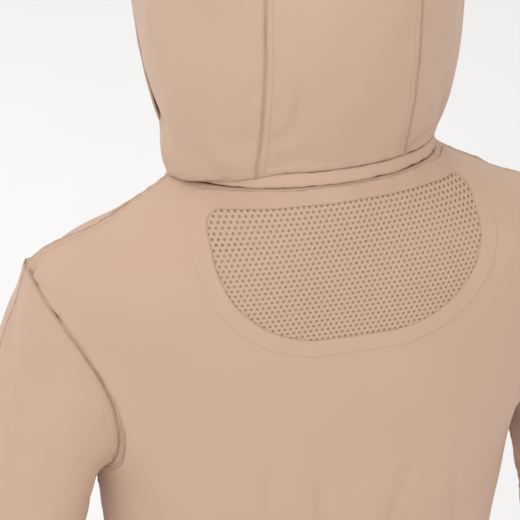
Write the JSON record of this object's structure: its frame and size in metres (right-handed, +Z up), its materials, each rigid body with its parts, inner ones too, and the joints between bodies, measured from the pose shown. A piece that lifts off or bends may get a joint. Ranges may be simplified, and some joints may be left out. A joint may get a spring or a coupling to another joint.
{
  "type": "beekeeping suit",
  "caption": "One-piece protective suit with loose body, gathered cuffs, perforated vent panel across the shoulders, front zip, and a fold-back hood with a net face veil.",
  "frame": {"origin": "on the floor under the trouser hems, midway between the extremes in X and Y", "axes": "+Z up, +X to the wearer's left, the front faces -Y"},
  "size_m": [0.8224, 0.331, 1.83],
  "materials": {
    "suit_cloth": "dense smooth tan cloth with a soft sheen",
    "suit_trim": "the same cloth doubled over at bands, patches and bindings",
    "vent_net": "tan spacer fabric with rows of small round holes",
    "veil_net": "fine black net",
    "elastic": "ribbed elastic",
    "zip_tape": "woven zip tape with moulded teeth",
    "zip_metal": "dull plated zinc",
    "spring_wire": "flat spring steel in a casing"
  },
  "bodies": {
    "suit": {"ankle_cuff_left": "suit_trim", "ankle_cuff_right": "suit_trim", "ankle_zip_left": "zip_tape", "ankle_zip_right": "zip_tape", "back_panel": "suit_cloth", "chest_pocket": "suit_cloth", "front_panel_left": "suit_cloth", "front_panel_right": "suit_cloth", "front_zip_left": "zip_tape", "front_zip_right": "zip_tape", "hip_pocket_left": "suit_cloth", "hip_pocket_right": "suit_cloth", "knee_patch_left": "suit_trim", "knee_patch_right": "suit_trim", "leg_back_left": "suit_cloth", "leg_back_right": "suit_cloth", "leg_front_left": "suit_cloth", "leg_front_right": "suit_cloth", "neck_band": "suit_cloth", "neck_zip": "zip_tape", "shoulder_pleat_left": "suit_cloth", "shoulder_pleat_right": "suit_cloth", "sleeve_back_left": "suit_cloth", "sleeve_back_right": "suit_cloth", "sleeve_cuff_left": "elastic", "sleeve_cuff_right": "elastic", "sleeve_front_left": "suit_cloth", "sleeve_front_right": "suit_cloth", "vent_facing": "suit_cloth", "vent_mesh": "vent_net", "waist_band": "suit_trim", "waist_elastic": "elastic", "zip_bottom_stop": "zip_metal"},
    "hood": {"hood_centre_panel": "suit_cloth", "hood_side_left": "suit_cloth", "hood_side_right": "suit_cloth", "chin_band": "suit_cloth", "veil_screen": "veil_net", "veil_binding": "suit_trim", "veil_hem": "suit_trim", "hood_brim": "suit_cloth", "veil_hoop_lower": "spring_wire", "veil_hoop_upper": "spring_wire"},
    "zip_slider": {"zip_slider": "zip_metal"},
    "zip_pull": {"zip_pull": "zip_metal"},
    "throat_tab": {"throat_tab": "suit_trim"},
    "chest_flap": {"chest_flap": "suit_trim"},
    "neck_slider": {"neck_slider": "zip_metal"},
    "neck_pull": {"neck_pull": "zip_metal"},
    "ankle_slider_left": {"ankle_slider_left": "zip_metal"},
    "ankle_pull_left": {"ankle_pull_left": "zip_metal"},
    "ankle_slider_right": {"ankle_slider_right": "zip_metal"},
    "ankle_pull_right": {"ankle_pull_right": "zip_metal"}
  },
  "joints": [
    {"name": "hood_fold", "type": "hinge", "parent": "suit", "child": "hood", "pos_m": [0, 0.11792, 1.54242], "axis": [-1, 0, 0], "range_deg": [0, 85]},
    {"name": "front_zip_slide", "type": "slide", "parent": "suit", "child": "zip_slider", "axis": [0, 0.0249, 0.9997], "range_m": [-0.5139, 0]},
    {"name": "front_pull_swing", "type": "hinge", "parent": "zip_slider", "child": "zip_pull", "pos_m": [0, -0.08798, 1.43022], "axis": [-1, 0, 0], "range_deg": [0, 150]},
    {"name": "throat_tab_open", "type": "hinge", "parent": "suit", "child": "throat_tab", "pos_m": [-0.02, -0.08536, 1.45126], "axis": [0, -0.0249, -0.9997], "range_deg": [0, 150]},
    {"name": "chest_flap_lift", "type": "hinge", "parent": "suit", "child": "chest_flap", "pos_m": [0.08988, -0.07957, 1.33622], "axis": [-0.9834, -0.1811, -0.0073], "range_deg": [0, 75]},
    {"name": "neck_zip_travel", "type": "hinge", "parent": "suit", "child": "neck_slider", "pos_m": [0, 0.019, 1.5], "axis": [0, 0.2924, -0.9563], "range_deg": [0, 138]},
    {"name": "neck_pull_swing", "type": "hinge", "parent": "neck_slider", "child": "neck_pull", "pos_m": [0.106, -0.01965, 1.49446], "axis": [0, -0.2924, 0.9563], "range_deg": [0, 120]},
    {"name": "ankle_zip_slide_left", "type": "slide", "parent": "suit", "child": "ankle_slider_left", "axis": [0.0071, -0.0072, 0.9999], "range_m": [0, 0.17]},
    {"name": "ankle_pull_swing_left", "type": "hinge", "parent": "ankle_slider_left", "child": "ankle_pull_left", "pos_m": [0.20362, 0.03552, 0.06634], "axis": [-0.0001, -1, -0.0072], "range_deg": [0, 150]},
    {"name": "ankle_zip_slide_right", "type": "slide", "parent": "suit", "child": "ankle_slider_right", "axis": [-0.0071, -0.0072, 0.9999], "range_m": [0, 0.17]},
    {"name": "ankle_pull_swing_right", "type": "hinge", "parent": "ankle_slider_right", "child": "ankle_pull_right", "pos_m": [-0.20362, 0.03552, 0.06634], "axis": [-0.0001, 1, 0.0072], "range_deg": [0, 150]}
  ]
}
